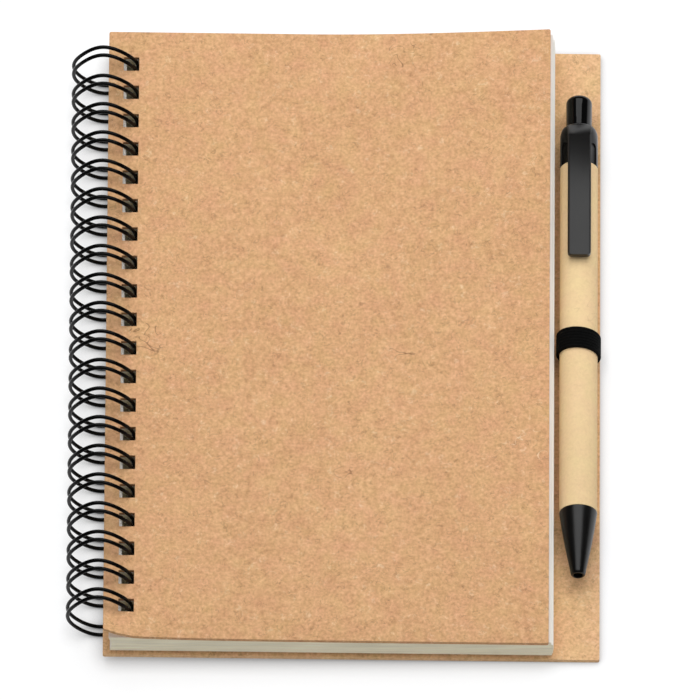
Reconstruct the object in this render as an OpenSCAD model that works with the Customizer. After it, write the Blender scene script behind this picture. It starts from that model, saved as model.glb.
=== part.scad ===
// Kraft notebook bound with a black twin-loop wire, with a push pen held by an elastic loop on the
// tray of its wider back cover. Millimetres. +Z is up, the spine runs along Y, the tray is at +X.
// The modules work in the book's own frame: X from the covers' spine edge, Z from the back cover's
// underside. settled() then lays the whole book on the table as it comes to rest.

/* [Covers] */
// Height of both covers, along the spine
cover_h = 180; // [140:1:260]
// Width of the front cover
front_w = 115; // [70:0.5:200]
// Thickness of the front cover
front_t = 1.2; // [0.8:0.1:2]
// Thickness of the back cover
back_t = 1.3; // [0.8:0.1:2]
// Radius of the covers' corners
corner_r = 0.5; // [0.2:0.1:6]
// Distance from the middle of the pen to the free edge of the tray
tray_edge = 5.7; // [4.5:0.1:14]

/* [Pages] */
// Thickness of the block of pages
page_t = 7.5; // [5:0.1:12]
// Distance that the pages end short of the covers at the head and the foot
page_short = 0.9; // [0.2:0.1:4]
// Distance that the fore edge stands out past the front cover
page_out = 1.3; // [0.5:0.1:3]
// Distance from the covers' spine edge to the pages' spine edge
page_in = 2.2; // [1.5:0.1:3]
// Distance that the middle pages stand out past the outer ones
page_bow = 0.4; // [0.1:0.05:0.6]
// Gap between the block of pages and each cover
page_gap = 0.05; // [0.02:0.01:0.2]

/* [Rings] */
// Distance from one loop to the next
loop_pitch = 8.467; // [7:0.001:12.7]
// Least distance from the end of a cover to the middle of the last loop
loop_end = 8; // [5:0.5:12]
// Diameter of the wire
wire_d = 1; // [0.7:0.05:1.2]
// Distance between the two wires of a loop
loop_w = 2.4; // [2:0.1:3]
// Radius of the bends between neighbouring loops
bend_r = 1.1; // [0.8:0.1:1.5]
// Room in the rings beyond half the thickness of the closed book
ring_room = 3.35; // [2.8:0.05:6]
// Height of the rings' middle above the middle of the closed book
ring_lift = 1.2; // [0.8:0.05:1.5]
// Distance from the covers' spine edge out to the rings' middle
ring_out = 0.8; // [0.4:0.05:1.2]
// Play of the wire in the punched holes, on each side
hole_play = 0.17; // [0.1:0.01:0.5]

/* [Pen body] */
// Diameter of the paper barrel
barrel_d = 9.9; // [8:0.1:13]
// Wall of the paper barrel
barrel_wall = 0.6; // [0.5:0.05:0.75]
// Length of the paper barrel
barrel_len = 102; // [82:1:125]
// Length of the nose outside the barrel
nose_len = 18.4; // [15:0.1:24]
// Diameter of the nose at its tip
nose_tip_d = 3.7; // [3.3:0.1:4.8]
// Bulge of the nose past a straight cone
nose_bulge = 0.15; // [0:0.05:0.4]
// Width of the chamfer round the nose's tip
tip_chamfer = 0.25; // [0.1:0.05:0.4]
// Length of the nose's and the cap's plugs inside the barrel
plug_len = 12; // [10:0.5:15]
// Distance from the middle of the book's height to the middle of the barrel
pen_offset = 1; // [-8:0.5:8]

/* [Pen cap] */
// Length of the cap outside the barrel
cap_len = 11.8; // [9.8:0.1:15]
// Diameter of the cap
cap_d = 9.8; // [9:0.1:12]
// Length of the cap's rounded shoulder
shoulder_len = 2.8; // [2:0.1:4]
// Width of the flat rim round the button's hole
rim_w = 0.25; // [0.15:0.05:0.4]
// Thickness of the cap's top round the button
cap_top = 1.2; // [0.8:0.1:1.6]
// Width of the clip
clip_w = 6.05; // [4.5:0.05:7.5]
// Length of the clip's flat top
clip_len = 35.6; // [25:0.1:50]
// Thickness of the clip
clip_t = 1.6; // [1.2:0.1:2.2]
// Gap between the clip and the barrel
clip_gap = 0.95; // [0.7:0.05:1.5]
// Bevel along the clip's upper edges
clip_bevel = 0.45; // [0.2:0.05:0.6]
// Radius of the clip's free corners
clip_corner = 1.2; // [0.6:0.1:2]
// Length of the clip's root on the cap
clip_root = 9; // [7:0.1:10]
// Length of the slope from the clip down to the cap's shoulder
clip_slope = 4.6; // [3:0.1:6]
// Distance from the cap's end to the foot of that slope
slope_inset = 1; // [0.7:0.1:1.6]
// Distance from the clip's free end to the middle of its nub
nub_inset = 2.4; // [1.5:0.1:4]
// Width of the arched recess on each side of the clip
arch_w = 2.3; // [1.6:0.1:2.6]
// Height of the arched recess
arch_h = 6.2; // [4:0.1:7]
// Depth of the arched recess
arch_depth = 0.45; // [0.2:0.05:0.5]
// Angle of the arched recess round the cap, from the clip
arch_angle = 51; // [45:1:62]

/* [Push mechanism] */
// Diameter of the button
button_d = 6.8; // [5.6:0.1:7]
// Length of the button outside the cap
button_out = 9.8; // [8:0.1:13]
// Height of the button's domed end
button_dome = 2.2; // [1.2:0.1:3]
// Wall of the cap's plug inside the barrel
plug_wall = 0.5; // [0.4:0.05:0.6]
// Height of the button's collar
collar_h = 1.6; // [1:0.1:2.2]
// Length of the button's crown below its collar
crown_len = 5.5; // [4.5:0.1:6.5]
// Wall of the button's crown
crown_wall = 1; // [0.8:0.05:1.2]
// Number of teeth on the crown and on the rotor
teeth = 8; // [6:2:12]
// Height of the teeth
tooth_h = 1.1; // [0.8:0.1:1.4]
// Number of guide fins in the cap
fins = 4; // [3:1:4]
// Width of the guide fins
fin_w = 0.7; // [0.5:0.05:0.9]
// Depth of the guide fins
fin_depth = 0.45; // [0.35:0.05:0.5]
// Length of the rotor's ribbed head
rotor_head = 4.4; // [3.6:0.1:5]
// Length of the rotor's stem
rotor_stem = 5.5; // [4.5:0.1:6.5]
// Wall of the rotor's stem round the refill
stem_wall = 0.5; // [0.4:0.05:0.7]
// Travel of the button
travel = 5; // [4:0.1:6]

/* [Refill] */
// Diameter of the refill's tube
refill_d = 3.2; // [2.7:0.1:3.6]
// Bore of the refill's tube
refill_bore = 1.9; // [1.5:0.1:2.2]
// Diameter of the metal point
point_d = 2.3; // [1.9:0.1:2.6]
// Diameter of the ball at the point's end
ball_d = 0.8; // [0.6:0.05:1]
// Length of the point's cone
point_cone = 4; // [3:0.1:5]
// Length of the point's shank inside the tube
shank_len = 4; // [3:0.5:8]
// Distance that the ball rests inside the nose
ball_inset = 1.2; // [0.8:0.1:2]
// Distance from the tip of the nose to the spring's seat
spring_seat = 9; // [7:0.1:11]
// Diameter of the spring's wire
spring_wire = 0.35; // [0.25:0.01:0.4]
// Gap between the spring and the bore of the nose
spring_room = 0.4; // [0.25:0.05:0.6]
// Length of the pressed spring at rest
spring_len = 17; // [14:0.5:20]
// Number of the spring's coils
spring_coils = 10; // [7:1:14]

/* [Elastic loop] */
// Width of the elastic
elastic_w = 5.9; // [4:0.1:9]
// Thickness of the elastic
elastic_t = 0.85; // [0.6:0.05:1.2]
// Number of ribs woven along the elastic
elastic_ribs = 7; // [4:1:12]
// Depth of the grooves between the ribs
rib_depth = 0.14; // [0.05:0.01:0.2]
// Width of the elastic's glued ends
tab_w = 7; // [5:0.1:8.5]
// Distance from the middle of the book's height to the elastic
elastic_offset = -0.8; // [-20:0.1:20]
// Gap between the elastic and the pages
elastic_gap = 0.45; // [0.3:0.05:2]

/* [Fits] */
// Gap round a moving part
run_gap = 0.1; // [0.05:0.01:0.15]
// Gap round a part that stays put
seat_gap = 0.04; // [0.02:0.01:0.06]

/* [Hidden] */
$fn = 48;
over = 1;

// The closed book
page_z = back_t + page_gap;
front_z = page_z + page_t + page_gap;
book_t = front_z + front_t;
page_h = cover_h - 2 * page_short;
page_mid = page_z + page_t / 2;
bow_r = page_t * page_t / (8 * page_bow) + page_bow / 2;

// The rings, and the holes that their wires pass through
wire_r = wire_d / 2;
ring_r = book_t / 2 + ring_room;
ring_outer = ring_r + wire_r;
ring_z = book_t / 2 + ring_lift;
loops = floor((cover_h - 2 * loop_end) / loop_pitch) + 1;
function chord(r, dz) = sqrt(r * r - dz * dz);
hole_near = -ring_out + min(chord(ring_r - wire_r, ring_z), chord(ring_r - wire_r, book_t - ring_z));
hole_far = -ring_out + max(chord(ring_outer, front_z - ring_z), chord(ring_outer, ring_z - back_t));
hole_side = max(hole_far - hole_near, loop_w + wire_d) + 2 * hole_play;
hole_x = (hole_near + hole_far) / 2;
page_hole_x = ring_outer - ring_out + page_bow + hole_play - hole_side / 2;
// Where the wire's tips and roots end on the ring, as whole-number right triangles
tip_way = [0.6, -0.8];
root_way = [0.28, -0.96];
// How much thinner than its wire a bend is, and how far it laps into its neighbours
lap_step = 0.02;
lap_angle = 3;

// The pen lies along Y. Its own frame has Z from the tip to the button and -Y up
barrel_r = barrel_d / 2;
elastic_r = barrel_r + seat_gap + elastic_t;
pen_x = front_w + page_out + elastic_gap + elastic_r;
pen_z = back_t + seat_gap + elastic_r;
barrel_z = nose_len;
cap_z = barrel_z + barrel_len;
cap_end = cap_z + cap_len;
clip_foot = cap_end - slope_inset;
clip_z = clip_foot - clip_slope - clip_len;
pen_len = cap_end + button_out;
pen_y = pen_offset - barrel_z - barrel_len / 2;
back_w = pen_x + tray_edge;

// Radii inside the pen
plug_r = barrel_r - barrel_wall - seat_gap;
cap_bore_r = plug_r - plug_wall;
button_r = button_d / 2;
button_hole_r = button_r + run_gap;
collar_r = cap_bore_r - run_gap;
fin_tip_r = cap_bore_r - fin_depth;
crown_r = min(button_r, fin_tip_r) - run_gap;
refill_r = refill_d / 2;
point_r = point_d / 2;
nose_hole_r = point_r + run_gap;
spring_r = (refill_r + point_r) / 2 + spring_wire / 2;
spring_bore_r = spring_r + spring_wire / 2 + spring_room;
stem_r = refill_r + stem_wall;

// Heights of the moving parts along the pen, from the top down
collar_top = cap_end - cap_top - run_gap;
crown_end = collar_top - collar_h - crown_len;
rotor_top = crown_end + tooth_h - run_gap;
rotor_mid = rotor_top - rotor_head;
rotor_end = rotor_mid - rotor_stem;
refill_top = rotor_end + rotor_stem - crown_wall;
fin_top = collar_top - collar_h - travel;
refill_z = spring_seat + spring_len + seat_gap;

// How the book comes to rest, on the rings' undersides and the tray's lower edge
rest_reach = back_w + ring_out;
rest_tilt = asin(ring_outer / sqrt(rest_reach * rest_reach + ring_z * ring_z)) - atan2(ring_z, rest_reach);
rest_lift = back_w * sin(rest_tilt);
box_left = -ring_out * cos(rest_tilt) + ring_z * sin(rest_tilt) - ring_outer;
box_right = max(back_w * cos(rest_tilt) + back_t * sin(rest_tilt),
                pen_x * cos(rest_tilt) + pen_z * sin(rest_tilt) + elastic_r);
box_mid = (box_left + box_right) / 2;

module settled() {
    translate([-box_mid, 0, rest_lift]) rotate([0, rest_tilt, 0]) children();
}

module along_spine(length) {
    translate([0, length / 2, 0]) rotate([90, 0, 0]) linear_extrude(length) children();
}

module at_each_loop(count = loops) {
    for (i = [0:count - 1]) translate([0, (i - (loops - 1) / 2) * loop_pitch, 0]) children();
}

module in_pen(z = 0) {
    translate([pen_x, pen_y, pen_z]) rotate([-90, 0, 0]) translate([0, 0, z]) children();
}

// A board cut from sheet, with round corners and a row of square holes along the spine
function board_outline(w, h, r, steps = 5) = [
    for (c = [[w - r, h / 2 - r, 0], [r, h / 2 - r, 90], [r, r - h / 2, 180], [w - r, r - h / 2, 270]])
        for (i = [0:steps])
            [c.x + r * cos(c.z + 90 * i / steps), c.y + r * sin(c.z + 90 * i / steps)]
];

module board(w, t) {
    difference() {
        linear_extrude(t) polygon(board_outline(w, cover_h, corner_r));
        at_each_loop() translate([hole_x - hole_side / 2, -hole_side / 2, -over])
            cube([hole_side, hole_side, t + 2 * over]);
    }
}

module front_cover() {
    color("#deb082") settled() translate([0, 0, front_z]) board(front_w, front_t);
}

module back_cover() {
    color("#d9ab7c") settled() board(back_w, back_t);
}

// The sheets slide a little on the rings, so both edges of the closed block bow towards the tray
module page_arc(x) {
    translate([x - bow_r, page_mid]) circle(r = bow_r);
}

module page_section() {
    fore_x = front_w + page_out;
    spine_x = page_in - 2 * page_bow;
    difference() {
        translate([spine_x, page_z]) square([fore_x + over - spine_x, page_t]);
        page_arc(page_in);
        difference() {
            translate([fore_x - 2 * page_bow, page_z - over])
                square([2 * page_bow + 2 * over, page_t + 2 * over]);
            page_arc(fore_x);
        }
    }
}

module page_hole_section() {
    intersection() {
        translate([0, page_z - over]) square([2 * page_hole_x, page_t + 2 * over]);
        difference() {
            page_arc(page_hole_x + hole_side / 2);
            page_arc(page_hole_x - hole_side / 2);
        }
    }
}

module page_block() {
    color("#faf5eb") settled() difference() {
        along_spine(page_h) page_section();
        at_each_loop() along_spine(hole_side) page_hole_section();
    }
}

// One black wire bent to and fro: two legs and a round tip make each loop, and a straight bar
// with a bend at each end joins the roots of neighbouring loops
module ring_leg() {
    rotate([90, 0, 0]) difference() {
        rotate_extrude() translate([ring_r, 0]) circle(r = wire_r);
        translate([0, 0, -wire_d]) linear_extrude(2 * wire_d)
            polygon([[0, 0], 2 * ring_r * tip_way, 2 * ring_r * root_way]);
    }
}

// Puts its children on the ring, with X outwards and Z along the wire
module on_ring(way) {
    multmatrix([[way.x, 0, -way.y, 0], [0, 1, 0, 0], [way.y, 0, way.x, 0], [0, 0, 0, 1]])
        translate([ring_r, 0, 0]) children();
}

// A bend is a hair thinner than the wire and runs on a little way into its neighbours at both ends
module wire_bend(start, sweep, r) {
    rotate([0, 90, 0]) rotate_extrude(angle = sweep + 2 * lap_angle, start = start - lap_angle)
        translate([r, 0]) circle(r = wire_r - lap_step);
}

module wire_bar() {
    near_y = loop_w / 2 + bend_r;
    far_y = loop_pitch - near_y;
    translate([0, near_y, 0]) wire_bend(180, 90, bend_r);
    translate([0, near_y, bend_r]) rotate([-90, 0, 0]) cylinder(r = wire_r, h = far_y - near_y);
    translate([0, far_y, 0]) wire_bend(90, 90, bend_r);
}

module binding_wire() {
    color("#141414") settled() translate([-ring_out, 0, ring_z]) union() {
        at_each_loop() {
            translate([0, -loop_w / 2, 0]) ring_leg();
            translate([0, loop_w / 2, 0]) ring_leg();
            on_ring(tip_way) wire_bend(-90, 180, loop_w / 2);
        }
        at_each_loop(loops - 1) on_ring(root_way) wire_bar();
    }
}

// A ribbed band round the barrel, its joined ends glued flat to the tray under the pen
module pen_loop() {
    steps = 4 * elastic_ribs;
    inner_r = barrel_r + seat_gap;
    ribbed = [
        for (i = [0:steps])
            [elastic_r - rib_depth * (1 - abs(sin(180 * elastic_ribs * i / steps))),
             elastic_w * (i / steps - 0.5)]
    ];
    color("#101010") settled() difference() {
        union() {
            in_pen(elastic_offset - pen_y)
                rotate_extrude() polygon(concat([[inner_r - over, elastic_w / 2]],
                                                [[inner_r - over, -elastic_w / 2]], ribbed));
            translate([pen_x - tab_w / 2, elastic_offset - elastic_w / 2, pen_z - elastic_r])
                cube([tab_w, elastic_w, elastic_t]);
        }
        in_pen(elastic_offset - pen_y - elastic_w) cylinder(r = inner_r, h = 2 * elastic_w);
    }
}

module tube(outer_r, inner_r, h) {
    difference() {
        cylinder(r = outer_r, h = h);
        translate([0, 0, -over]) cylinder(r = inner_r, h = h + 2 * over);
    }
}

module pen_barrel() {
    color("#e8cb96") settled() in_pen(barrel_z) tube(barrel_r, barrel_r - barrel_wall, barrel_len);
}

// A turned nose with a plug that fills the barrel's end, a seat for the spring and a narrow mouth
module pen_nose() {
    steps = 10;
    tip_r = nose_tip_d / 2;
    outside = [
        for (i = [0:steps]) let (t = i / steps)
            [tip_r + (barrel_r - tip_r) * t + nose_bulge * sin(180 * t),
             tip_chamfer + (nose_len - seat_gap - tip_chamfer) * t]
    ];
    plug_end = nose_len + plug_len;
    color("#1b1a19") settled() in_pen() rotate_extrude() polygon(concat(
        [[nose_hole_r, 0], [tip_r - tip_chamfer, 0]], outside,
        [[plug_r, nose_len - seat_gap], [plug_r, plug_end], [spring_bore_r, plug_end],
         [spring_bore_r, spring_seat], [nose_hole_r, spring_seat]]));
}

// The cap: a shoulder, a skirt with two arched recesses, guide fins in its plug, and the clip
function shoulder_r(a) = button_hole_r + rim_w + (cap_d / 2 - button_hole_r - rim_w) * cos(a);

module cap_body() {
    steps = 8;
    shoulder = [
        for (i = [0:steps]) let (a = 90 * i / steps)
            [shoulder_r(a), cap_end - shoulder_len + shoulder_len * sin(a)]
    ];
    rotate_extrude() polygon(concat(
        [[0, cap_z - plug_len], [plug_r, cap_z - plug_len], [plug_r, cap_z + seat_gap],
         [cap_d / 2, cap_z + seat_gap]], shoulder, [[0, cap_end]]));
}

module clip_side() {
    low = barrel_r + clip_gap;
    high = low + clip_t;
    root_r = cap_bore_r / 2;
    foot_r = shoulder_r(asin(1 - slope_inset / shoulder_len));
    polygon([[clip_z, low], [clip_z, high], [clip_foot - clip_slope, high], [clip_foot, foot_r],
             [clip_foot, root_r], [clip_foot - clip_root, root_r], [clip_foot - clip_root, low]]);
}

module clip() {
    low = barrel_r + clip_gap;
    high = low + clip_t;
    half = clip_w / 2;
    intersection() {
        union() {
            // X across, Y up and Z along, turned from a side view drawn along and up
            rotate([0, 0, 180]) rotate([0, -90, 0]) translate([0, 0, -half])
                linear_extrude(clip_w) clip_side();
            translate([-half, -low - run_gap, clip_z + nub_inset]) rotate([0, 90, 0])
                cylinder(r = clip_gap, h = clip_w);
        }
        // Plan view: round corners at the free end
        translate([0, over, 0]) rotate([90, 0, 0]) linear_extrude(high + 2 * over) union() {
            translate([-half, clip_z + clip_corner]) square([clip_w, clip_len + clip_root]);
            translate([clip_corner - half, clip_z]) square([clip_w - 2 * clip_corner, clip_corner + over]);
            for (s = [-1, 1]) translate([s * (half - clip_corner), clip_z + clip_corner])
                circle(r = clip_corner);
        }
        // End view: bevels along the upper edges
        translate([0, 0, clip_z - over]) linear_extrude(clip_len + 2 * clip_root)
            polygon([[-half, over], [half, over], [half, clip_bevel - high], [half - clip_bevel, -high],
                     [clip_bevel - half, -high], [-half, clip_bevel - high]]);
    }
}

module pen_cap() {
    color("#1d1c1b") settled() in_pen() difference() {
        union() {
            cap_body();
            clip();
        }
        difference() {
            translate([0, 0, cap_z - plug_len - over])
                cylinder(r = cap_bore_r, h = cap_len + plug_len + over - cap_top);
            for (i = [0:fins - 1]) rotate([0, 0, 360 * i / fins])
                translate([fin_tip_r, -fin_w / 2, cap_z - plug_len])
                    cube([fin_depth + over, fin_w, fin_top - cap_z + plug_len]);
        }
        translate([0, 0, cap_z]) cylinder(r = button_hole_r, h = cap_len + over);
        for (s = [-1, 1]) rotate([0, 0, s * arch_angle]) translate([0, arch_depth - cap_d / 2, cap_z - over])
            rotate([90, 0, 0]) linear_extrude(over) union() {
                translate([-arch_w / 2, 0]) square([arch_w, over + arch_h - arch_w / 2]);
                translate([0, over + arch_h - arch_w / 2]) circle(d = arch_w);
            }
    }
}

// A ring of pointed teeth: a tube's end cut by wedges, which point towards +Z
module tooth_cuts(r, turn = 0) {
    gap_w = 2 * r * sin(180 / teeth);
    for (i = [0:teeth - 1]) rotate([0, 0, 360 * i / teeth + turn]) rotate([90, 0, 0])
        linear_extrude(r + over) polygon([[-gap_w / 2, 0], [gap_w / 2, 0], [0, tooth_h]]);
}

module pen_button() {
    steps = 8;
    dome = [
        for (i = [0:steps]) let (a = 90 * i / steps)
            [button_r * cos(a), pen_len - button_dome + button_dome * sin(a)]
    ];
    bore_r = crown_r - crown_wall;
    color("#0d0d0d") settled() in_pen() difference() {
        rotate_extrude() polygon(concat(
            [[bore_r, crown_end], [crown_r, crown_end], [crown_r, collar_top - collar_h],
             [collar_r, collar_top - collar_h], [collar_r, collar_top], [button_r, collar_top]],
            dome, [[0, pen_len - 2 * crown_wall], [bore_r, pen_len - 2 * crown_wall - bore_r]]));
        translate([0, 0, crown_end]) tooth_cuts(crown_r);
        for (i = [0:fins - 1]) rotate([0, 0, 360 * i / fins])
            translate([fin_tip_r - run_gap, -fin_w / 2 - run_gap, collar_top - collar_h - over])
                cube([collar_r, fin_w + 2 * run_gap, collar_h + 2 * over]);
    }
}

module pen_rotor() {
    rib_r = collar_r;
    pin_r = crown_r - crown_wall - run_gap;
    socket_r = refill_r + seat_gap;
    color("#e9e6dc") settled() in_pen() difference() {
        union() {
            translate([0, 0, rotor_mid]) cylinder(r = crown_r, h = rotor_head);
            translate([0, 0, rotor_end]) cylinder(r = stem_r, h = rotor_stem);
            translate([0, 0, rotor_mid]) cylinder(r = pin_r, h = rotor_head + 2 * tooth_h);
            for (i = [0:fins - 1]) rotate([0, 0, 360 * (i + 0.5) / fins])
                translate([0, -fin_w / 2, rotor_mid]) cube([rib_r, fin_w, rotor_head - 2 * tooth_h]);
        }
        difference() {
            translate([0, 0, rotor_top]) mirror([0, 0, 1]) tooth_cuts(crown_r, 180 / teeth);
            translate([0, 0, rotor_top - 2 * tooth_h]) cylinder(r = pin_r, h = 3 * tooth_h);
        }
        translate([0, 0, rotor_end - over]) cylinder(r = socket_r, h = refill_top - rotor_end + over);
    }
}

module refill_tube() {
    color("#f2f0ea") settled() in_pen(refill_z) tube(refill_r, refill_bore / 2, refill_top - refill_z);
}

module refill_point() {
    ball_r = ball_d / 2;
    shank_r = refill_bore / 2 - seat_gap;
    color("#c9a75a") settled() in_pen() union() {
        rotate_extrude() polygon([
            [0, ball_inset + ball_r], [ball_r, ball_inset + ball_r], [point_r, ball_inset + point_cone],
            [point_r, refill_z - seat_gap], [shank_r, refill_z - seat_gap],
            [shank_r, refill_z + shank_len], [0, refill_z + shank_len]]);
        translate([0, 0, ball_inset + ball_r]) sphere(r = ball_r);
    }
}

// A wound spring, swept as one skin of flat facets along its helix
module pen_spring() {
    sides = 6;
    per_coil = 14;
    count = spring_coils * per_coil;
    r = spring_wire / 2;
    rise = spring_len - spring_wire - 2 * seat_gap;
    points = [
        for (i = [0:count]) let (a = 360 * i / per_coil, z = spring_seat + seat_gap + r + rise * i / count)
            for (j = [0:sides - 1]) let (b = 360 * j / sides, q = spring_r + r * cos(b))
                [q * cos(a), q * sin(a), z + r * sin(b)]
    ];
    walls = [
        for (i = [0:count - 1]) for (j = [0:sides - 1])
            let (k = (j + 1) % sides, n = i * sides)
                [n + j, n + sides + j, n + sides + k, n + k]
    ];
    first = [for (j = [0:sides - 1]) j];
    last = [for (j = [0:sides - 1]) count * sides + sides - 1 - j];
    color("#b9bcc0") settled() in_pen() polyhedron(points, concat(walls, [first, last]));
}

front_cover();
page_block();
back_cover();
binding_wire();
pen_loop();
pen_barrel();
pen_nose();
pen_cap();
pen_button();
pen_rotor();
refill_tube();
refill_point();
pen_spring();
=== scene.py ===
# Kraft notebook on a black twin-loop wire, with a push pen on its tray: the looks round the fixed frame.
# The pieces are drawn in millimetres in the closed book's own frame, X from the covers' spine edge and
# Z from the back cover's underside, and LAY_DOWN then puts them on the table where the frame has them.
import math

import bmesh
import bpy
from mathutils import Matrix, Vector, noise


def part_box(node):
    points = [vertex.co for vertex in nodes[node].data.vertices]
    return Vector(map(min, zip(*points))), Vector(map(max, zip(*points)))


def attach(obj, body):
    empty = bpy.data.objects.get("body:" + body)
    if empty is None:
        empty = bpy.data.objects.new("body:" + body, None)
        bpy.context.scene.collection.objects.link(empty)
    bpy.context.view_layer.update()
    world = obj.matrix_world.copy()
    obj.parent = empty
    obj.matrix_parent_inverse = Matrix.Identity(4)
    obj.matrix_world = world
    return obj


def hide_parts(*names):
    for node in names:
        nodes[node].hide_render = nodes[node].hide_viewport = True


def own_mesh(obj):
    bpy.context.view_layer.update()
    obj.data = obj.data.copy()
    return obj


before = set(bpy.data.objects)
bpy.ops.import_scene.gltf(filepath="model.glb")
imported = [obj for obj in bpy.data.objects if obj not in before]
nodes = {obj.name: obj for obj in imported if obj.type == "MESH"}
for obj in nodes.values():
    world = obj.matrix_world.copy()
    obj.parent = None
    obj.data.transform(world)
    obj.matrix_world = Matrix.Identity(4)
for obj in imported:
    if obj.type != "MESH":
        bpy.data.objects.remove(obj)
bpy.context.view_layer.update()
scene = bpy.context.scene
scene.view_settings.view_transform = "Standard"


# Camera. A long lens far off, as in a catalogue picture, looks down on the book at 61 degrees from the
# foot's side. It is aimed and rolled so that the book's corners fall where they do in the photograph.
PICTURE = 700
PIXELS_PER_MM = 3.85
VIEW_ELEVATION = math.radians(60.9)
VIEW_AZIMUTH = math.radians(0.93)
VIEW_ROLL = math.radians(0.70)
LENS = 1600
SENSOR = 36
AIM = Vector((0.00386, 0.00223, 0.0))

camera = bpy.data.objects.new("camera", bpy.data.cameras.new("camera"))
camera.data.lens = LENS
camera.data.sensor_width = SENSOR
away = Vector((
    math.sin(VIEW_AZIMUTH) * math.cos(VIEW_ELEVATION),
    -math.cos(VIEW_AZIMUTH) * math.cos(VIEW_ELEVATION),
    math.sin(VIEW_ELEVATION),
))
distance = LENS / SENSOR * PICTURE / PIXELS_PER_MM / 1000
camera.location = AIM + away * distance
facing = (-away).to_track_quat("-Z", "Y").to_matrix().to_4x4()
camera.rotation_euler = (facing @ Matrix.Rotation(-VIEW_ROLL, 4, "Z")).to_euler()
camera.data.clip_end = 2 * distance
scene.collection.objects.link(camera)
scene.camera = camera


# Light. One large soft box hangs over the head of the book, so that shadows fall towards the foot. A pale
# room fills them. Its white backdrop stands low all round, and gloss mirrors a dim ceiling above it.
BOX_PLACE = Vector((0.07, 0.33, 0.88))
BOX_SIZE = 0.98
BOX_WATTS = 6.1
ROOM_LIGHT = 0.54
CEILING = 0.06
BACKDROP_TOP = (0.02, 0.14)


def node(tree, kind, **settings):
    """A new shader node. A name with a capital first is an input socket, any other is a setting."""
    made = tree.nodes.new("ShaderNode" + kind)
    for name, value in settings.items():
        if name[0].isupper():
            made.inputs[name.replace("_", " ")].default_value = value
        else:
            setattr(made, name, value)
    return made


def maths(tree, operation, first, second=None, third=None, clamp=False):
    """A Math node on sockets or numbers, and its output."""
    made = node(tree, "Math", operation=operation, use_clamp=clamp)
    for i, value in enumerate((first, second, third)):
        if isinstance(value, bpy.types.NodeSocket):
            tree.links.new(value, made.inputs[i])
        elif value is not None:
            made.inputs[i].default_value = value
    return made.outputs[0]


soft_box = bpy.data.objects.new("soft_box", bpy.data.lights.new("soft_box", "AREA"))
soft_box.data.shape = "SQUARE"
soft_box.data.size = BOX_SIZE
soft_box.data.energy = BOX_WATTS
soft_box.location = BOX_PLACE
soft_box.rotation_euler = (-BOX_PLACE).to_track_quat("-Z", "Y").to_euler()
soft_box.visible_camera = False
scene.collection.objects.link(soft_box)

world = bpy.data.worlds.new("room")
scene.world = world
world.use_nodes = True
sky = world.node_tree
sky.nodes.clear()
ray = node(sky, "LightPath")
way = node(sky, "TexCoord")
height = node(sky, "SeparateXYZ")
overhead = node(sky, "MapRange", From_Min=BACKDROP_TOP[0], From_Max=BACKDROP_TOP[1], To_Min=1.0,
                To_Max=CEILING)
mirrored = node(sky, "Background")
backdrop = node(sky, "Background", Strength=1.0)
room = node(sky, "Background", Strength=ROOM_LIGHT)
reflected = maths(sky, "MAXIMUM", ray.outputs["Is Glossy Ray"], ray.outputs["Is Transmission Ray"])
lit = node(sky, "MixShader")
either = node(sky, "MixShader")
sky_out = node(sky, "OutputWorld")
sky.links.new(way.outputs["Generated"], height.inputs[0])
sky.links.new(height.outputs["Z"], overhead.inputs["Value"])
sky.links.new(overhead.outputs[0], mirrored.inputs["Strength"])
sky.links.new(reflected, lit.inputs[0])
sky.links.new(room.outputs[0], lit.inputs[1])
sky.links.new(mirrored.outputs[0], lit.inputs[2])
sky.links.new(ray.outputs["Is Camera Ray"], either.inputs[0])
sky.links.new(lit.outputs[0], either.inputs[1])
sky.links.new(backdrop.outputs[0], either.inputs[2])
sky.links.new(either.outputs[0], sky_out.inputs["Surface"])


# Floor. A plain white table top. The camera and gloss see it lifted almost to white by a glow, and the glow
# is darkened within a few millimetres of the book as a painted contact shadow, so that the shadow close to
# the book stays, part real and part painted, and the wide soft one fades.
FLOOR_RADIUS = 6.0
FLOOR_BOUNCE = (0.75, 0.75, 0.75, 1)
FLOOR_SEEN = (0.33, 0.335, 0.345, 1)
FLOOR_GLOW = 0.76
PAINTED_SHADE_REACH = 0.005

floor_white = bpy.data.materials.new("floor_white")
floor_white.use_nodes = True
tree = floor_white.node_tree
tree.nodes.clear()
ray = node(tree, "LightPath")
bounce = node(tree, "BsdfDiffuse", Color=FLOOR_BOUNCE)
shown = node(tree, "BsdfDiffuse", Color=FLOOR_SEEN)
# The glow takes its colour from ambient occlusion, which paints a contact shadow on the floor close to the
# book.
near = node(tree, "AmbientOcclusion", Distance=PAINTED_SHADE_REACH, samples=8)
painted_shade_glow = node(tree, "Emission", Strength=FLOOR_GLOW)
lifted = node(tree, "AddShader")
reflected = maths(tree, "MAXIMUM", ray.outputs["Is Glossy Ray"], ray.outputs["Is Transmission Ray"])
seen = maths(tree, "MAXIMUM", reflected, ray.outputs["Is Camera Ray"])
either = node(tree, "MixShader")
floor_out = node(tree, "OutputMaterial")
tree.links.new(near.outputs["Color"], painted_shade_glow.inputs["Color"])
tree.links.new(shown.outputs[0], lifted.inputs[0])
tree.links.new(painted_shade_glow.outputs[0], lifted.inputs[1])
tree.links.new(seen, either.inputs[0])
tree.links.new(bounce.outputs[0], either.inputs[1])
tree.links.new(lifted.outputs[0], either.inputs[2])
tree.links.new(either.outputs[0], floor_out.inputs["Surface"])

bm = bmesh.new()
bmesh.ops.create_circle(bm, cap_ends=True, segments=64, radius=FLOOR_RADIUS)
floor_mesh = bpy.data.meshes.new("floor")
bm.to_mesh(floor_mesh)
bm.free()
floor_mesh.materials.append(floor_white)
floor = bpy.data.objects.new("floor", floor_mesh)
scene.collection.objects.link(floor)


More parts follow.
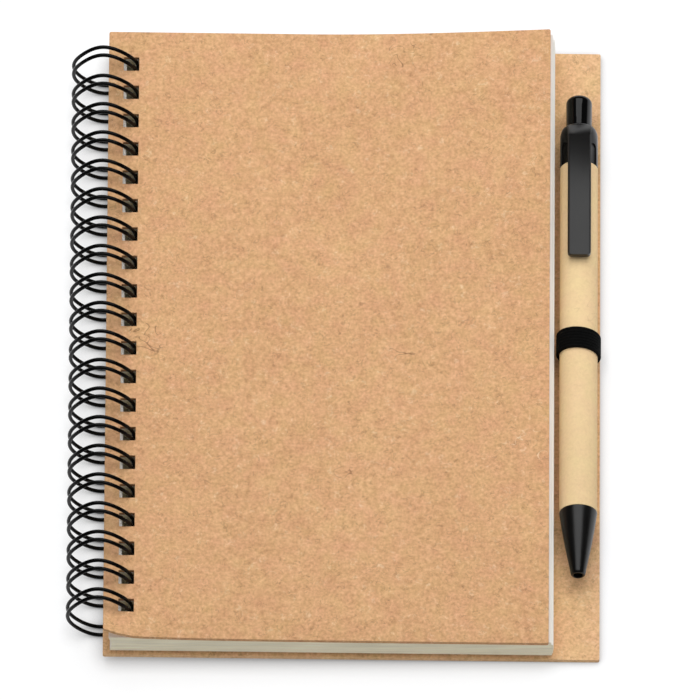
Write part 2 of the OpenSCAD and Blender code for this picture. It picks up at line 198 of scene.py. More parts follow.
# Back cover. A sheet of solid kraft board 1.3 mm thick, guillotined and punched with 20 square holes.
# It is 13 mm wider than the front cover, and its free part is the pen's tray. It is the frame's own.
BACK_T = 1.3
KRAFT = (0.765, 0.437, 0.221, 1)
KRAFT_EDGE = (0.60, 0.335, 0.165, 1)
KRAFT_DARK = (0.27, 0.135, 0.06, 1)
KRAFT_PALE = (0.95, 0.74, 0.48, 1)
TRAY_KRAFT = (0.85, 0.53, 0.28, 1)
TRAY_EDGE = (0.82, 0.52, 0.28, 1)
GRAIN_WEIGHT = 1.2
FLECK_WEIGHT = 0.65
CLOUD_WEIGHT = 1.6
EDGE_ON = 0.6
SHORT_HAIRS = {"bend": 420.0, "thin": 0.04, "spots": 420.0, "chance": 0.75, "reach": 0.5}
LONG_HAIRS = {"bend": 130.0, "thin": 0.012, "spots": 60.0, "chance": 0.10, "reach": 0.30}
PALE_SHORT = 0.42
PALE_LONG = 0.45
SHORT_SHOWS = 0.45


def mixed(tree, amount, first, second):
    """A colour that goes from the first to the second by amount, and its output."""
    made = node(tree, "Mix", data_type="RGBA")
    for i, value in ((0, amount), (6, first), (7, second)):
        if isinstance(value, bpy.types.NodeSocket):
            tree.links.new(value, made.inputs[i])
        else:
            made.inputs[i].default_value = value
    return made.outputs[2]


def new_group(name, inputs, outputs):
    """A shader node group with its input and output nodes, each socket given as label: (kind, value)."""
    group = bpy.data.node_groups.new(name, "ShaderNodeTree")
    for label, (kind, value) in inputs.items():
        socket = group.interface.new_socket(label, in_out="INPUT", socket_type="NodeSocket" + kind)
        socket.default_value = value
    for label, kind in outputs.items():
        group.interface.new_socket(label, in_out="OUTPUT", socket_type="NodeSocket" + kind)
    return group, group.nodes.new("NodeGroupInput"), group.nodes.new("NodeGroupOutput")


def hairs(tree, place, bend, thin, spots, chance, reach):
    """Short curved hairs: thin lines where a noise crosses its middle, kept in a few scattered spots."""
    wander = node(tree, "TexNoise", Scale=bend, Detail=1.0, Distortion=1.2)
    cells = node(tree, "TexVoronoi", Scale=spots)
    tree.links.new(place, wander.inputs["Vector"])
    tree.links.new(place, cells.inputs["Vector"])
    level = maths(tree, "ABSOLUTE", maths(tree, "SUBTRACT", wander.outputs["Fac"], 0.5))
    line = maths(tree, "SUBTRACT", 1.0, maths(tree, "DIVIDE", level, thin), clamp=True)
    split = node(tree, "SeparateColor")
    tree.links.new(cells.outputs["Color"], split.inputs[0])
    picked = maths(tree, "LESS_THAN", split.outputs[0], chance)
    near = maths(tree, "LESS_THAN", cells.outputs["Distance"], reach)
    kept = maths(tree, "MULTIPLY", picked, near)
    return maths(tree, "MULTIPLY", line, kept), split.outputs[1]


def kraft_group():
    """Recycled kraft: a fine mottled grain, soft clouds, short fibres all over and a few long hairs."""
    tree, given, out = new_group(
        "kraft_fibres",
        {"Paper": ("Color", KRAFT), "Edge": ("Color", KRAFT_EDGE), "Grain": ("Float", 0.5),
         "Clouds": ("Float", 0.08), "Hairs": ("Float", 0.8), "Tooth": ("Float", 0.25)},
        {"Color": "Color", "Normal": "Vector"},
    )
    place = node(tree, "TexCoord")
    spot = place.outputs["Object"]
    grain = node(tree, "TexNoise", Scale=1300.0, Detail=2.0, Roughness=0.6)
    fleck = node(tree, "TexNoise", Scale=560.0, Detail=2.0, Roughness=0.5)
    cloud = node(tree, "TexNoise", Scale=60.0, Detail=2.0)
    for texture in (grain, fleck, cloud):
        tree.links.new(spot, texture.inputs["Vector"])

    def swing(texture, amount, weight):
        """How much a texture lifts or lowers the brightness at a point."""
        off = maths(tree, "SUBTRACT", texture.outputs["Fac"], 0.5)
        return maths(tree, "MULTIPLY", maths(tree, "MULTIPLY", off, amount), weight)

    value = maths(tree, "ADD", 1.0, swing(grain, given.outputs["Grain"], GRAIN_WEIGHT))
    value = maths(tree, "ADD", value, swing(fleck, given.outputs["Grain"], FLECK_WEIGHT))
    value = maths(tree, "ADD", value, swing(cloud, given.outputs["Clouds"], CLOUD_WEIGHT))

    # Cut edges show the darker core of the board, except where they face up or down
    upright = node(tree, "SeparateXYZ")
    tree.links.new(place.outputs["Normal"], upright.inputs[0])
    side = maths(tree, "LESS_THAN", maths(tree, "ABSOLUTE", upright.outputs["Z"]), EDGE_ON)
    paper = mixed(tree, side, given.outputs["Paper"], given.outputs["Edge"])

    short, tone = hairs(tree, spot, **SHORT_HAIRS)
    long, long_tone = hairs(tree, spot, **LONG_HAIRS)
    dark = maths(tree, "GREATER_THAN", tone, PALE_SHORT)
    long_dark = maths(tree, "GREATER_THAN", long_tone, PALE_LONG)
    short_tone = mixed(tree, dark, KRAFT_PALE, KRAFT_DARK)
    long_colour = mixed(tree, long_dark, KRAFT_PALE, KRAFT_DARK)
    weak = maths(tree, "MULTIPLY", maths(tree, "MULTIPLY", short, given.outputs["Hairs"]), SHORT_SHOWS)
    strong = maths(tree, "MULTIPLY", long, given.outputs["Hairs"])
    colour = mixed(tree, weak, paper, short_tone)
    colour = mixed(tree, strong, colour, long_colour)

    # The hue wanders a little round its middle, 0.5
    shade = node(tree, "HueSaturation")
    tint = node(tree, "TexNoise", Scale=170.0, Detail=2.0)
    tree.links.new(spot, tint.inputs["Vector"])
    tree.links.new(maths(tree, "MULTIPLY_ADD", tint.outputs["Fac"], 0.03, 0.485), shade.inputs["Hue"])
    tree.links.new(colour, shade.inputs["Color"])
    tree.links.new(value, shade.inputs["Value"])

    # The dark spots of the pulp are redder than the pale ones
    warm = node(tree, "Gamma")
    tree.links.new(shade.outputs["Color"], warm.inputs["Color"])
    tree.links.new(maths(tree, "MULTIPLY_ADD", value, -0.5, 1.5), warm.inputs["Gamma"])
    tree.links.new(warm.outputs["Color"], out.inputs["Color"])

    height = maths(tree, "ADD", grain.outputs["Fac"], maths(tree, "MULTIPLY", short, 0.6))
    height = maths(tree, "ADD", height, long)
    bump = node(tree, "Bump", Distance=0.00006)
    tree.links.new(given.outputs["Tooth"], bump.inputs["Strength"])
    tree.links.new(height, bump.inputs["Height"])
    tree.links.new(bump.outputs["Normal"], out.inputs["Normal"])
    return tree


def finish(name, **sockets):
    """A material of one Principled BSDF with those sockets set, its tree and its shader."""
    material = bpy.data.materials.new(name)
    material.use_nodes = True
    shader = material.node_tree.nodes["Principled BSDF"]
    for label, value in sockets.items():
        shader.inputs[label.replace("_", " ")].default_value = value
    return material, material.node_tree, shader


def kraft_finish(name, **amounts):
    """Kraft as a material, with its colours and amounts where they aren't the covers' own."""
    material, tree, shader = finish(name, Roughness=0.82, Specular_IOR_Level=0.25)
    fibres = node(tree, "Group")
    fibres.node_tree = kraft_fibres
    for label, value in amounts.items():
        fibres.inputs[label].default_value = value
    tree.links.new(fibres.outputs["Color"], shader.inputs["Base Color"])
    tree.links.new(fibres.outputs["Normal"], shader.inputs["Normal"])
    return material


def dress(name, material):
    """Gives a finish to a frame node whose own shape is right."""
    mesh = nodes[name].data
    mesh.materials.clear()
    mesh.materials.append(material)


kraft_fibres = kraft_group()
dress("back_cover", kraft_finish("kraft_tray", Paper=TRAY_KRAFT, Edge=TRAY_EDGE))

back_low, back_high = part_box("back_cover")
TILT = math.asin((back_high.z - back_low.z - BACK_T / 1000) / (back_high.x - back_low.x))
SPINE_FOOT = Vector((back_low.x, 0, back_high.z - BACK_T / 1000 * math.cos(TILT)))
LAY_DOWN = Matrix.Translation(SPINE_FOOT) @ Matrix.Rotation(TILT, 4, "Y") @ Matrix.Scale(0.001, 4)


# Front cover. A narrower sheet of the same board, 1.2 mm thick. It has sprung up at its head by the fore
# edge, and its foot corner by the spine is turned up a little.
COVER_H = 180.0
FRONT_W = 115.0
FRONT_T = 1.2
FRONT_Z = 8.9
CORNER_R = 0.5
LOOPS = 20
LOOP_PITCH = 8.467
HOLE_SIDE = 4.0
HOLE_X = 5.86
WARP_STEP = 5.0
CUT_EDGE = 0.1
SPRING = 4.2
SPRING_FROM = (52.0, -25.0)
EAR = 3.2
EAR_REACH = (4.2, 6.0)
FOOT_RISE = 1.7
FOOT_REACH = (18.0, 8.0)


def loop_places():
    """The distance of each loop from the middle of the book, foot to head."""
    return [(i - (LOOPS - 1) / 2) * LOOP_PITCH for i in range(LOOPS)]


def cut_across(bm, x=None, y=None):
    """Cuts every face along one line, so that the sheet can be punched or bent there."""
    at = Vector((x or 0.0, y or 0.0, 0.0))
    along = Vector((1, 0, 0)) if x is not None else Vector((0, 1, 0))
    everything = bm.verts[:] + bm.edges[:] + bm.faces[:]
    bmesh.ops.bisect_plane(bm, geom=everything, dist=1e-5, plane_co=at, plane_no=along)


def punched_sheet(left, right, foot, head, hole_x, columns):
    """A flat sheet with its row of square holes, cut into cells that can be bent."""
    bm = bmesh.new()
    bmesh.ops.create_grid(bm, x_segments=1, y_segments=1, size=0.5)
    bmesh.ops.scale(bm, vec=(right - left, head - foot, 1), verts=bm.verts)
    bmesh.ops.translate(bm, vec=((left + right) / 2, (foot + head) / 2, 0), verts=bm.verts)
    for x in (hole_x - HOLE_SIDE / 2, hole_x + HOLE_SIDE / 2, *columns):
        cut_across(bm, x=x)
    for y in loop_places():
        cut_across(bm, y=y - HOLE_SIDE / 2)
        cut_across(bm, y=y + HOLE_SIDE / 2)
    punched = []
    for face in bm.faces:
        middle = face.calc_center_median()
        beside = min(abs(middle.y - y) for y in loop_places())
        if abs(middle.x - hole_x) < HOLE_SIDE / 2 and beside < HOLE_SIDE / 2:
            punched.append(face)
    bmesh.ops.delete(bm, geom=punched, context="FACES")
    return bm


def round_corners(bm, radius, segments=4):
    """Rounds a flat sheet's four corners, which are the points that touch one face and lie outermost."""
    lows = [min(v.co[i] for v in bm.verts) for i in (0, 1)]
    highs = [max(v.co[i] for v in bm.verts) for i in (0, 1)]
    corners = [
        v for v in bm.verts
        if all(min(abs(v.co[i] - lows[i]), abs(v.co[i] - highs[i])) < 1e-4 for i in (0, 1))
    ]
    bmesh.ops.bevel(bm, geom=corners, offset=radius, offset_type="OFFSET", segments=segments,
                    profile=0.5, affect="VERTICES", material=-1)


def thicken(bm, thickness):
    """Gives a flat sheet at Z 0 its thickness, upwards."""
    bmesh.ops.solidify(bm, geom=bm.faces[:], thickness=thickness)
    lowest = min(v.co.z for v in bm.verts)
    bmesh.ops.translate(bm, vec=(0, 0, -lowest), verts=bm.verts)
    bmesh.ops.recalc_face_normals(bm, faces=bm.faces)


def soften(bm, width, segments=2, angle=40.0):
    """Takes the sharpness off every edge that turns more than an angle."""
    sharp = [
        e for e in bm.edges
        if len(e.link_faces) == 2 and e.calc_face_angle(0) > math.radians(angle)
    ]
    bmesh.ops.bevel(bm, geom=sharp, offset=width, offset_type="OFFSET", segments=segments, profile=0.5,
                    affect="EDGES", clamp_overlap=True, material=-1)


def book_piece(name, bm, material, body, slot, *stands_for, smooth=35.0):
    """Lays a mesh drawn in the book's millimetres on the table, as a piece that rides on one body."""
    bmesh.ops.transform(bm, matrix=LAY_DOWN, verts=bm.verts)
    mesh = bpy.data.meshes.new(name)
    bm.to_mesh(mesh)
    bm.free()
    mesh.shade_smooth()
    mesh.set_sharp_from_angle(angle=math.radians(smooth))
    mesh.materials.append(material)
    piece = bpy.data.objects.new(name, mesh)
    scene.collection.objects.link(piece)
    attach(piece, body)
    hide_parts(*stands_for)
    return piece


def share(value, start, end):
    """Where a value lies from start to end, from 0 to 1, eased at both ends."""
    t = max(0.0, min(1.0, (value - start) / (end - start)))
    return t * t * (3 - 2 * t)


def sprung(x, y):
    """How far the book has sprung open at its head by the fore edge, in millimetres."""
    outwards = 2 * share(x, SPRING_FROM[0], 2 * FRONT_W - SPRING_FROM[0])
    return SPRING * outwards * share(y, SPRING_FROM[1], COVER_H / 2)


def turned_up(x, y):
    """How far the cover's foot stands up by the spine, in millimetres."""
    up = y + COVER_H / 2
    ear = EAR * math.exp(-((x / EAR_REACH[0]) ** 2) - (up / EAR_REACH[1]) ** 2)
    return ear + FOOT_RISE * math.exp(-x / FOOT_REACH[0] - (up / FOOT_REACH[1]) ** 2)


kraft_board = kraft_finish("kraft_board")
warp_lines = [WARP_STEP * i for i in range(2, int(FRONT_W / WARP_STEP))]
bm = punched_sheet(0, FRONT_W, -COVER_H / 2, COVER_H / 2, HOLE_X, warp_lines)
round_corners(bm, CORNER_R)
thicken(bm, FRONT_T)
soften(bm, CUT_EDGE)
for v in bm.verts:
    v.co.z += FRONT_Z + sprung(v.co.x, v.co.y) + turned_up(v.co.x, v.co.y)
book_piece("front_cover_board", bm, kraft_board, "cover", "kraft_board", "front_cover")


# Pages. About 70 sheets of cream-white writing paper, cut and punched together. Each is a sheet of its
# own here, a little out of line with its neighbours, and the upper ones spring up with the cover.
SHEETS = 70
PAGE_Z = 1.35
PAGE_T = 7.5
PAGE_LEFT = 2.2
PAGE_RIGHT = 116.3
PAGE_BOW = 0.4
PAGE_H = 178.2
PAGE_HOLE_X = 6.67
SHEET_GAP = 0.012
SHEET_SLIP = 0.05
SHEETS_SPRUNG = 0.96
SLID_SHEETS = 12
SLID_BACK = 0.35
FOOT_LIFT = 0.55
FOOT_LIFT_REACH = 5.0
PAGE_LINES = (20.0, 40.0, 60.0, 75.0, 88.0, 98.0, 107.0, 113.0)
PAPER = (0.97, 0.955, 0.92, 1)
PAPER_EDGE = (0.97, 0.90, 0.68, 1)


def paper_group():
    """Writing paper: faint clouds in the sheet, and fine darker lines between the cut edges."""
    tree, given, out = new_group(
        "writing_paper",
        {"Sheet": ("Color", PAPER), "Edge": ("Color", PAPER_EDGE)},
        {"Color": "Color", "Normal": "Vector"},
    )
    place = node(tree, "TexCoord")
    cloud = node(tree, "TexNoise", Scale=260.0, Detail=3.0)
    tooth = node(tree, "TexNoise", Scale=2600.0, Detail=2.0)
    tree.links.new(place.outputs["Object"], cloud.inputs["Vector"])
    tree.links.new(place.outputs["Object"], tooth.inputs["Vector"])
    upright = node(tree, "SeparateXYZ")
    tree.links.new(place.outputs["Normal"], upright.inputs[0])
    side = maths(tree, "LESS_THAN", maths(tree, "ABSOLUTE", upright.outputs["Z"]), EDGE_ON)
    paper = mixed(tree, side, given.outputs["Sheet"], given.outputs["Edge"])
    flat = node(tree, "Mapping", Scale=(70.0, 70.0, 1100.0))
    layers = node(tree, "TexNoise", Scale=1.0, Detail=3.0)
    tree.links.new(place.outputs["Object"], flat.inputs["Vector"])
    tree.links.new(flat.outputs["Vector"], layers.inputs["Vector"])
    lines = maths(tree, "MULTIPLY", maths(tree, "SUBTRACT", layers.outputs["Fac"], 0.5), side)
    shade = node(tree, "HueSaturation")
    off = maths(tree, "SUBTRACT", cloud.outputs["Fac"], 0.5)
    value = maths(tree, "ADD", 1.0, maths(tree, "MULTIPLY", off, 0.06))
    tree.links.new(maths(tree, "ADD", value, maths(tree, "MULTIPLY", lines, 0.55)), shade.inputs["Value"])
    tree.links.new(paper, shade.inputs["Color"])
    tree.links.new(shade.outputs["Color"], out.inputs["Color"])
    bump = node(tree, "Bump", Distance=0.00002, Strength=0.2)
    tree.links.new(tooth.outputs["Fac"], bump.inputs["Height"])
    tree.links.new(bump.outputs["Normal"], out.inputs["Normal"])
    return tree


page_paper, tree, shader = finish("page_paper", Roughness=0.7, Specular_IOR_Level=0.3)
sheet_look = node(tree, "Group")
sheet_look.node_tree = paper_group()
tree.links.new(sheet_look.outputs["Color"], shader.inputs["Base Color"])
tree.links.new(sheet_look.outputs["Normal"], shader.inputs["Normal"])

one_sheet = punched_sheet(PAGE_LEFT, PAGE_RIGHT, -PAGE_H / 2, PAGE_H / 2, PAGE_HOLE_X, PAGE_LINES)
thicken(one_sheet, PAGE_T / SHEETS - SHEET_GAP)
sheet_mesh = bpy.data.meshes.new("one_sheet")
one_sheet.to_mesh(sheet_mesh)
one_sheet.free()
bm = bmesh.new()
for i in range(SHEETS):
    height = (i + 0.5) / SHEETS
    bow = PAGE_BOW * (1 - (2 * height - 1) ** 2) - PAGE_BOW
    slip = noise.noise(Vector((i * 0.37, 0.5, 0.0))) + 0.6 * noise.noise(Vector((i * 1.9, 7.5, 0.0)))
    slide = noise.noise(Vector((i * 0.53, 3.5, 0.0)))
    before = len(bm.verts)
    bm.from_mesh(sheet_mesh)
    bm.verts.ensure_lookup_table()
    for v in bm.verts[before:]:
        v.co.z += PAGE_Z + PAGE_T * i / SHEETS + sprung(v.co.x, v.co.y) * height ** 2 * SHEETS_SPRUNG
        up = (v.co.y + PAGE_H / 2) / FOOT_LIFT_REACH
        v.co.z += FOOT_LIFT * (1 - height) ** 3 * math.exp(-up * up)
        v.co.x += bow + SHEET_SLIP * slip - (SLID_BACK if i >= SHEETS - SLID_SHEETS else 0)
        v.co.y += SHEET_SLIP * slide
bpy.data.meshes.remove(sheet_mesh)
book_piece("page_sheets", bm, page_paper, "pages", "page_paper", "page_block")


# Binding wire. One steel wire 1 mm thick in black nylon, bent to and fro into 20 double loops and closed
# round the book. Here a ring of points is spun and drawn along it in the order in which it is bent.
WIRE_R = 0.5
WIRE_SIDES = 12
RING_R = 8.4
RING_X = -0.8
RING_Z = 6.25
LOOP_W = 2.4
BEND_R = 1.1
TIP_ANGLE = math.atan2(-0.8, 0.6)
ROOT_ANGLE = math.atan2(-0.96, 0.28)
LEG_SWEEP = 2 * math.pi - (TIP_ANGLE - ROOT_ANGLE)
LEG_STEPS = 60
TIP_STEPS = 8
BEND_STEPS = 5
WIRE_LEAN = 0.018
WIRE_STRAY = 0.002
CREST_SLANT = 1.1
CREST_SIDE = 0.6
ROOT_SLANT = 0.8
WIRE_BLACK = (0.001, 0.001, 0.001, 1)
WIRE_WORN = (0.003, 0.0028, 0.0025, 1)
ALONG_SPINE = Vector((0, 1, 0))


def swept(bm, end, centre, axis, angle, steps):
    """Spins the wire's open end about an axis and gives its new end."""
    turned = bmesh.ops.spin(bm, geom=end, cent=centre, axis=axis, dvec=(0, 0, 0), angle=angle,
                            steps=steps, use_merge=False, use_duplicate=False)
    return turned["geom_last"]


def on_ring(angle, y):
    """The middle of the wire at an angle round the ring, from the fore edge's side."""
    return Vector((RING_X + RING_R * math.cos(angle), y, RING_Z + RING_R * math.sin(angle)))


def slant(point):
    """How far the loops lean between the holes: the crest to the head, and the root to the foot."""
    way = Vector((point.x - RING_X, 0, point.z - RING_Z)).normalized()
    if way.z > 0:
        return CREST_SLANT * way.z ** 5 * (1 - CREST_SIDE * way.x)
    return ROOT_SLANT * way.z ** 5


def bent_loop(with_bar):
    """One double loop, drawn from its first root round to the root of the next one."""
    bm = bmesh.new()
    tip_out = Vector((math.cos(TIP_ANGLE), 0, math.sin(TIP_ANGLE)))
    root_out = Vector((math.cos(ROOT_ANGLE), 0, math.sin(ROOT_ANGLE)))
    ring_axis = Vector((RING_X, 0, RING_Z))
    across = Matrix.Translation(on_ring(ROOT_ANGLE, -LOOP_W / 2)) @ Matrix.Rotation(-ROOT_ANGLE, 4, "Y")
    bmesh.ops.create_circle(bm, cap_ends=False, segments=WIRE_SIDES, radius=WIRE_R, matrix=across)
    end = bm.verts[:] + bm.edges[:]
    end = swept(bm, end, ring_axis, ALONG_SPINE, LEG_SWEEP, LEG_STEPS)
    end = swept(bm, end, on_ring(TIP_ANGLE, 0), tip_out, math.pi, TIP_STEPS)
    end = swept(bm, end, ring_axis, ALONG_SPINE, -LEG_SWEEP, LEG_STEPS)
    if with_bar:
        near_y = LOOP_W / 2 + BEND_R
        far_y = LOOP_PITCH - near_y
        end = swept(bm, end, on_ring(ROOT_ANGLE, near_y), root_out, -math.pi / 2, BEND_STEPS)
        drawn = bmesh.ops.extrude_edge_only(bm, edges=[g for g in end if isinstance(g, bmesh.types.BMEdge)])
        end = [g for g in drawn["geom"] if not isinstance(g, bmesh.types.BMFace)]
        moved = [g for g in end if isinstance(g, bmesh.types.BMVert)]
        bmesh.ops.translate(bm, vec=(0, far_y - near_y, 0), verts=moved)
        end = moved + [e for e in bm.edges if e.verts[0] in moved and e.verts[1] in moved]
        swept(bm, end, on_ring(ROOT_ANGLE, far_y), root_out, -math.pi / 2, BEND_STEPS)
    mesh = bpy.data.meshes.new("bent_loop")
    bm.to_mesh(mesh)
    bm.free()
    return mesh


joined_loop = bent_loop(True)
last_loop = bent_loop(False)
bm = bmesh.new()
for i, y in enumerate(loop_places()):
    before = len(bm.verts)
    bm.from_mesh(joined_loop if i < LOOPS - 1 else last_loop)
    bm.verts.ensure_lookup_table()
    lean = WIRE_LEAN + WIRE_STRAY * noise.noise(Vector((i * 1.7, 0.4, 0.0)))
    for v in bm.verts[before:]:
        v.co.y += y + lean * (RING_X - v.co.x) + slant(v.co)
bpy.data.meshes.remove(joined_loop)
bpy.data.meshes.remove(last_loop)
bmesh.ops.remove_doubles(bm, verts=bm.verts, dist=WIRE_R / 10)
bmesh.ops.holes_fill(bm, edges=[e for e in bm.edges if e.is_boundary], sides=WIRE_SIDES)
bmesh.ops.recalc_face_normals(bm, faces=bm.faces)

coated_wire, tree, shader = finish("coated_wire", Specular_IOR_Level=0.16)
place = node(tree, "TexCoord")
wear = node(tree, "TexNoise", Scale=900.0, Detail=2.0)
tree.links.new(place.outputs["Object"], wear.inputs["Vector"])
tree.links.new(mixed(tree, wear.outputs["Fac"], WIRE_BLACK, WIRE_WORN), shader.inputs["Base Color"])
tree.links.new(maths(tree, "MULTIPLY_ADD", wear.outputs["Fac"], 0.2, 0.08), shader.inputs["Roughness"])
book_piece("twin_loop_wire", bm, coated_wire, "base", "coated_wire", "binding_wire")


# Elastic loop. A band of black woven elastic with seven rubber cords in it, wrapped once round the pen.
# It sits a little askew, and its joined ends are glued flat to the tray under the pen.
BARREL_R = 4.95
ELASTIC_Y = -0.8
ELASTIC_W = 5.9
ELASTIC_T = 0.85
ELASTIC_IN = BARREL_R + 0.04
ELASTIC_OUT = ELASTIC_IN + ELASTIC_T
ELASTIC_RIBS = 7
RIB_DEPTH = 0.16
RIB_STEPS = 8
ELASTIC_SKEW = 0.065
TAB_W = 7.0
TAB_ROUND = 0.2
TURN_STEPS = 96
YARN_BLACK = (0.0004, 0.0004, 0.0006, 1)
YARN_LINT = (0.0045, 0.0045, 0.0042, 1)

barrel_low, barrel_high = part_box("pen_barrel")
PEN_MIDDLE = LAY_DOWN.inverted() @ ((barrel_low + barrel_high) / 2)
ALONG_PEN = Matrix.Translation((PEN_MIDDLE.x, 0, PEN_MIDDLE.z)) @ Matrix.Rotation(-math.pi / 2, 4, "X")


def turned(outline):
    """Spins a closed outline of radius and height into a solid about the pen's axis."""
    bm = bmesh.new()
    rim = [bm.verts.new((r, 0, z)) for r, z in outline]
    drawn = [bm.edges.new((rim[i - 1], rim[i])) for i in range(len(rim))]
    bmesh.ops.spin(bm, geom=rim + drawn, cent=(0, 0, 0), axis=(0, 0, 1), dvec=(0, 0, 0),
                   angle=2 * math.pi, steps=TURN_STEPS, use_merge=True, use_duplicate=False)
    bmesh.ops.recalc_face_normals(bm, faces=bm.faces)
    bmesh.ops.transform(bm, matrix=ALONG_PEN, verts=bm.verts)
    return bm


def rib_outline():
    """The band's section: seven round ribs outside, and one flat side against the pen."""
    outline = [(ELASTIC_IN, ELASTIC_W / 2), (ELASTIC_IN, -ELASTIC_W / 2)]
    for i in range(ELASTIC_RIBS * RIB_STEPS + 1):
        across = i / (ELASTIC_RIBS * RIB_STEPS)
        round_rib = math.sqrt(abs(math.sin(math.pi * ELASTIC_RIBS * across)))
        outline.append((ELASTIC_OUT - RIB_DEPTH * (1 - round_rib), ELASTIC_W * (across - 0.5)))
    return outline


bm = turned(rib_outline())
bmesh.ops.translate(bm, vec=(0, ELASTIC_Y, 0), verts=bm.verts)
for v in bm.verts:
    v.co.y -= ELASTIC_SKEW * (v.co.x - PEN_MIDDLE.x)
tab = bmesh.ops.create_cube(bm, size=1.0)["verts"]
bmesh.ops.scale(bm, vec=(TAB_W, ELASTIC_W, ELASTIC_T), verts=tab)
tab_z = PEN_MIDDLE.z - ELASTIC_OUT + ELASTIC_T / 2
bmesh.ops.translate(bm, vec=(PEN_MIDDLE.x, ELASTIC_Y, tab_z), verts=tab)
tab_edges = {e for v in tab for e in v.link_edges}
bmesh.ops.bevel(bm, geom=list(tab_edges), offset=TAB_ROUND, segments=2, profile=0.5, affect="EDGES",
                material=-1)

elastic, tree, shader = finish("elastic", Roughness=0.88, Specular_IOR_Level=0.12)
place = node(tree, "TexCoord")
yarn = node(tree, "TexVoronoi", Scale=3800.0)
lint = node(tree, "TexNoise", Scale=1500.0, Detail=2.0)
tree.links.new(place.outputs["Object"], yarn.inputs["Vector"])
tree.links.new(place.outputs["Object"], lint.inputs["Vector"])
tree.links.new(mixed(tree, lint.outputs["Fac"], YARN_BLACK, YARN_LINT), shader.inputs["Base Color"])
weave = node(tree, "Bump", Distance=0.00006, Strength=0.6)
tree.links.new(yarn.outputs["Distance"], weave.inputs["Height"])
tree.links.new(weave.outputs["Normal"], shader.inputs["Normal"])
book_piece("elastic_loop", bm, elastic, "base", "elastic", "pen_loop")


# Pen barrel. A tube rolled from pale kraft paper, trimmed square at both ends. The nose and the cap are
# pressed into it.
TUBE_KRAFT = (0.97, 0.71, 0.395, 1)
CUT_ROUND = 0.06
SAME_POINT = 0.002
FLAT_WITHIN = math.radians(0.5)


def refined(node_name, name, material, body, slot, edge=None, smooth=35.0):
    """A piece with the frame's own shape, merged, with the sharpness taken off its edges if it has any."""
    bm = bmesh.new()
    bm.from_mesh(nodes[node_name].data)
    bmesh.ops.transform(bm, matrix=LAY_DOWN.inverted(), verts=bm.verts)
    bmesh.ops.remove_doubles(bm, verts=bm.verts, dist=SAME_POINT)
    if edge:
        bmesh.ops.dissolve_limit(bm, angle_limit=FLAT_WITHIN, verts=bm.verts, edges=bm.edges)
        soften(bm, edge)
    return book_piece(name, bm, material, body, slot, node_name, smooth=smooth)


kraft_tube = kraft_finish("kraft_tube", Paper=TUBE_KRAFT, Edge=TUBE_KRAFT, Grain=0.14, Clouds=0.06,
                          Hairs=0.12)
refined("pen_barrel", "barrel_tube", kraft_tube, "base", "kraft_tube", CUT_ROUND)


# Pen nose and cap. Both are moulded in satin black plastic. The cap has the clip in one piece with it, a
# round shoulder, an arched recess each side of the clip's root, and the fins that guide the button inside.
SATIN_BLACK = (0.0024, 0.0021, 0.0018, 1)
MOULD_ROUND = 0.14


def moulded_group():
    """The skin of moulded plastic: faint flow clouds in colour and gloss, and a fine sparked grain."""
    tree, given, out = new_group(
        "moulded_skin",
        {"Colour": ("Color", SATIN_BLACK), "Gloss": ("Float", 0.3), "Grain": ("Float", 0.2)},
        {"Color": "Color", "Roughness": "Float", "Normal": "Vector"},
    )
    place = node(tree, "TexCoord")
    flow = node(tree, "TexNoise", Scale=110.0, Detail=3.0, Distortion=0.6)
    spark = node(tree, "TexNoise", Scale=5200.0, Detail=2.0)
    tree.links.new(place.outputs["Object"], flow.inputs["Vector"])
    tree.links.new(place.outputs["Object"], spark.inputs["Vector"])
    off = maths(tree, "SUBTRACT", flow.outputs["Fac"], 0.5)
    shade = node(tree, "HueSaturation")
    tree.links.new(given.outputs["Colour"], shade.inputs["Color"])
    tree.links.new(maths(tree, "MULTIPLY_ADD", off, 0.5, 1.0), shade.inputs["Value"])
    tree.links.new(shade.outputs["Color"], out.inputs["Color"])
    tree.links.new(maths(tree, "MULTIPLY_ADD", off, 0.12, given.outputs["Gloss"]), out.inputs["Roughness"])
    bump = node(tree, "Bump", Distance=0.00001)
    tree.links.new(given.outputs["Grain"], bump.inputs["Strength"])
    tree.links.new(spark.outputs["Fac"], bump.inputs["Height"])
    tree.links.new(bump.outputs["Normal"], out.inputs["Normal"])
    return tree


moulded_skin = moulded_group()


def moulded_finish(name, colour, gloss, grain, **sockets):
    """Moulded plastic as a material, with its colour, gloss and grain."""
    material, tree, shader = finish(name, **sockets)
    skin = node(tree, "Group")
    skin.node_tree = moulded_skin
    skin.inputs["Colour"].default_value = colour
    skin.inputs["Gloss"].default_value = gloss
    skin.inputs["Grain"].default_value = grain
    tree.links.new(skin.outputs["Color"], shader.inputs["Base Color"])
    tree.links.new(skin.outputs["Roughness"], shader.inputs["Roughness"])
    tree.links.new(skin.outputs["Normal"], shader.inputs["Normal"])
    return material


satin_black = moulded_finish("satin_black", SATIN_BLACK, 0.30, 0.35, Specular_IOR_Level=0.45)
refined("pen_nose", "nose_cone", satin_black, "base", "black_plastic", MOULD_ROUND)
refined("pen_cap", "cap_and_clip", satin_black, "base", "black_plastic", MOULD_ROUND)


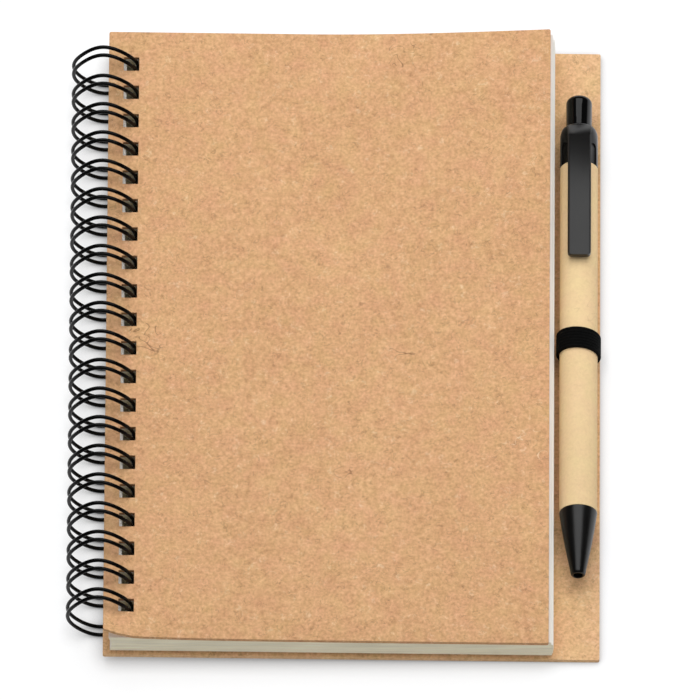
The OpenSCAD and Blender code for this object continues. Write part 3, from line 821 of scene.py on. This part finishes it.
# Push button. Moulded in polished black plastic with a domed end. Its collar and toothed crown are hidden
# in the cap, where the crown pushes the rotor.
GLOSS_BLACK = (0.0015, 0.0015, 0.0016, 1)
gloss_black = moulded_finish("gloss_black", GLOSS_BLACK, 0.07, 0.04, Specular_IOR_Level=0.3)
refined("pen_button", "push_button", gloss_black, "refill_carriage", "glossy_black_plastic", CUT_ROUND)


# Rotor and refill. The indexing rotor is white plastic, the ink tube is clear to the ink in it, and the
# point is turned from brass with a hard ball in its end.
ROTOR_WHITE = (0.82, 0.80, 0.74, 1)
INK_TUBE = (0.16, 0.20, 0.42, 1)
BRASS = (0.83, 0.62, 0.30, 1)
BRASS_DULL = (0.62, 0.44, 0.20, 1)


def metal_finish(name, bright, dull, rough, lines):
    """A metal with fine lines from its turning or drawing, a little duller in patches."""
    material, tree, shader = finish(name, Metallic=1.0)
    place = node(tree, "TexCoord")
    stretch = node(tree, "Mapping", Scale=lines)
    line = node(tree, "TexNoise", Scale=1.0, Detail=2.0)
    patch = node(tree, "TexNoise", Scale=700.0, Detail=2.0)
    tree.links.new(place.outputs["Object"], stretch.inputs["Vector"])
    tree.links.new(stretch.outputs["Vector"], line.inputs["Vector"])
    tree.links.new(place.outputs["Object"], patch.inputs["Vector"])
    tree.links.new(mixed(tree, patch.outputs["Fac"], bright, dull), shader.inputs["Base Color"])
    roughness = maths(tree, "MULTIPLY_ADD", line.outputs["Fac"], 0.15, rough)
    tree.links.new(roughness, shader.inputs["Roughness"])
    return material


dress("pen_rotor", moulded_finish("white_plastic", ROTOR_WHITE, 0.35, 0.1))
dress("refill_tube", moulded_finish("ink_tube", INK_TUBE, 0.2, 0.05, Transmission_Weight=0.35))
dress("refill_point", metal_finish("turned_brass", BRASS, BRASS_DULL, 0.18, (200.0, 9000.0, 200.0)))


# Spring. Wound from bright steel wire. It lies in the nose round the refill. On the real pen its coils
# close up towards their seat as the button goes down; here it is given a mesh of its own and keeps its
# shape.
STEEL = (0.60, 0.61, 0.62, 1)
STEEL_DULL = (0.42, 0.43, 0.44, 1)

spring_steel = metal_finish("spring_steel", STEEL, STEEL_DULL, 0.22, (3000.0, 3000.0, 3000.0))
return_spring = refined("pen_spring", "return_spring", spring_steel, "base", "spring_steel", smooth=60.0)
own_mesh(return_spring)
